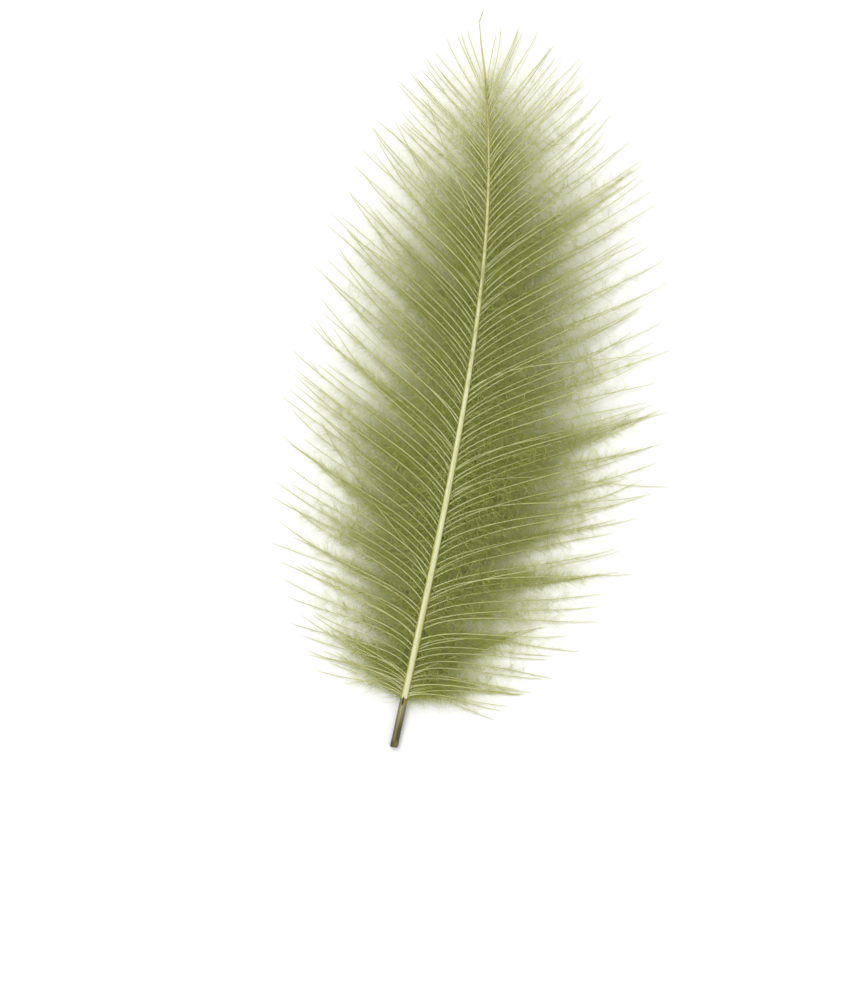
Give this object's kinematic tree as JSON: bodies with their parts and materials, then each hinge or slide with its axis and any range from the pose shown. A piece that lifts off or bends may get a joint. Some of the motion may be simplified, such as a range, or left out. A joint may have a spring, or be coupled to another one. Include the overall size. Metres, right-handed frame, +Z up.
{
  "type": "cul de canard feather",
  "caption": "Soft feather lying flat: a bare quill, a thin bowed shaft and airy vanes of loose fluffy barbs, dyed olive.",
  "frame": {"origin": "on the resting surface, under the middle of the feather's box", "axes": "+Z up from the surface, +Y from the cut end of the quill to the tip, +X to the right seen from above"},
  "size_m": [0.031, 0.061, 0.005],
  "materials": {
    "dyed_barbs": "soft matte, slightly see-through fluff",
    "bare_quill": "smooth horny keratin, cream above and brown at the cut end"
  },
  "bodies": {
    "root": {"feather": "dyed_barbs"}
  },
  "joints": []
}
